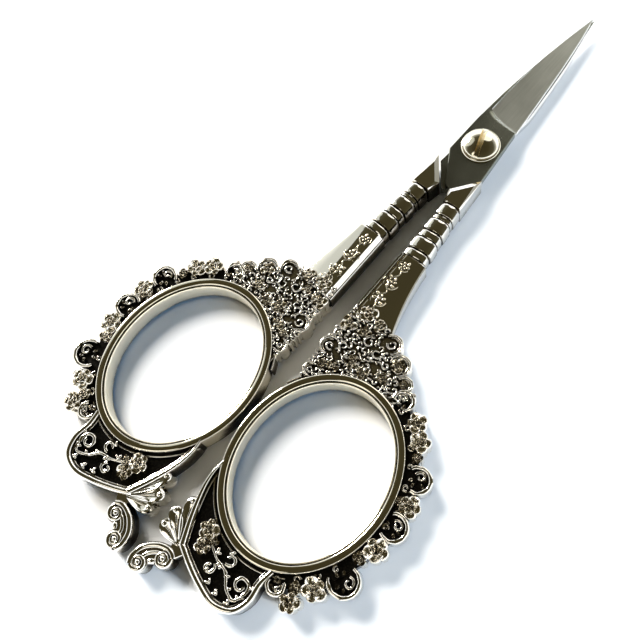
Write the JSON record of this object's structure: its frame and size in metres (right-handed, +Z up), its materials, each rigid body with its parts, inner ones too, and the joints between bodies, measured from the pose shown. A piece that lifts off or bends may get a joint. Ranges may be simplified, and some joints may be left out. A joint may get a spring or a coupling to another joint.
{
  "type": "sewing scissors",
  "caption": "Small sewing scissors with ground steel blades on a slotted pivot screw and cast nickel-plated handles with oval finger bows, floral borders and scroll tails.",
  "frame": {"origin": "on the pivot axis, at the flat peened end of the pivot screw, in the plane that the scissors lie on", "axes": "+Y along the closed blades towards the tips, +X to the right handle seen from above with the tips away, +Z up out of the screw head"},
  "size_m": [0.063, 0.1251, 0.0056],
  "materials": {
    "nickel_casting": "antique nickel plate, polished on the high relief and blackened in the recesses",
    "blade_steel": "satin ground faces with fine lengthwise grind lines, polished flats",
    "polished_screw": "mirror polished dome"
  },
  "bodies": {
    "lower_half": {"left_handle": "nickel_casting", "lower_blade": "blade_steel", "pivot_screw": "polished_screw"},
    "upper_half": {"right_handle": "nickel_casting", "upper_blade": "blade_steel"}
  },
  "joints": [
    {"name": "pivot", "type": "hinge", "parent": "lower_half", "child": "upper_half", "pos_m": [0, 0, 0.0023], "axis": [0, 0, 1], "range_deg": [0, 70]}
  ]
}
